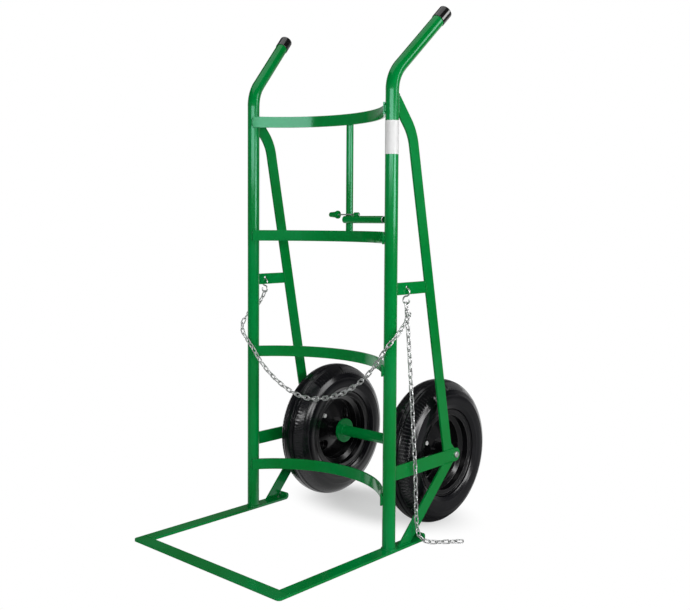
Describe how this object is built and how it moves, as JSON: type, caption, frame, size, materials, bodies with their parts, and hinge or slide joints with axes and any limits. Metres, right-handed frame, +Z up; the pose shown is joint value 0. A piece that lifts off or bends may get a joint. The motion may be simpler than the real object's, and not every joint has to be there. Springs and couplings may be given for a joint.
{
  "type": "gas cylinder trolley",
  "caption": "Upright two-wheeled hand trolley with a flat toe frame, bowed rungs, splayed handles and a retaining chain for carrying a gas cylinder.",
  "frame": {"origin": "on the floor, under the middle of the box of the frame and wheels", "axes": "+Z up, -Y towards the toe frame, +X to the right of the toe frame seen from its front"},
  "size_m": [0.6398, 0.835, 1.3192],
  "materials": {
    "frame_green": "glossy green enamel",
    "grip_rubber": "matt black",
    "axle_steel": "bright turned steel",
    "zinc": "bright zinc plate",
    "label_white": "plain white film",
    "tyre": "black tyre rubber",
    "inner_tube": "black rubber",
    "rim_black": "semi-gloss black enamel"
  },
  "bodies": {
    "frame": {"left_upright": "frame_green", "right_upright": "frame_green", "front_toe_bar": "frame_green", "left_base_bar": "frame_green", "right_base_bar": "frame_green", "bottom_rung": "frame_green", "lower_rung": "frame_green", "upper_rung": "frame_green", "top_rung": "frame_green", "left_stay": "frame_green", "right_stay": "frame_green", "left_mid_brace": "frame_green", "right_mid_brace": "frame_green", "left_axle_brace": "frame_green", "right_axle_brace": "frame_green", "left_leg": "frame_green", "right_leg": "frame_green", "spacer_tube": "frame_green", "spacer_collars": "frame_green", "axle_sleeves": "frame_green", "hanger_post": "frame_green", "hanger_arm": "frame_green", "keeper_boss": "frame_green", "left_grip_cap": "grip_rubber", "right_grip_cap": "grip_rubber", "axle_rod": "axle_steel", "axle_washers": "zinc", "axle_clips": "axle_steel", "upright_label": "label_white", "left_s_hook": "zinc", "right_s_hook": "zinc", "front_chain": "zinc", "side_chain": "zinc", "chain_end_hook": "zinc"},
    "left_wheel": {"left_tyre": "tyre", "left_inner_tube": "inner_tube", "left_rim": "rim_black", "left_wheel_disc": "rim_black", "left_hub": "rim_black", "left_bearings": "axle_steel", "left_valve_stem": "inner_tube", "left_valve_cap": "zinc"},
    "right_wheel": {"right_tyre": "tyre", "right_inner_tube": "inner_tube", "right_rim": "rim_black", "right_wheel_disc": "rim_black", "right_hub": "rim_black", "right_bearings": "axle_steel", "right_valve_stem": "inner_tube", "right_valve_cap": "zinc"},
    "keeper": {"keeper_pin": "zinc", "keeper_knob": "frame_green"}
  },
  "joints": [
    {"name": "left_wheel_spin", "type": "hinge", "parent": "frame", "child": "left_wheel", "pos_m": [-0.184, 0.2285, 0.189], "axis": [1, 0, 0], "continuous": true},
    {"name": "right_wheel_spin", "type": "hinge", "parent": "frame", "child": "right_wheel", "pos_m": [0.184, 0.2285, 0.189], "axis": [1, 0, 0], "continuous": true},
    {"name": "keeper_pin_slide", "type": "slide", "parent": "frame", "child": "keeper", "axis": [1, 0, 0], "range_m": [0, 0.01]}
  ]
}
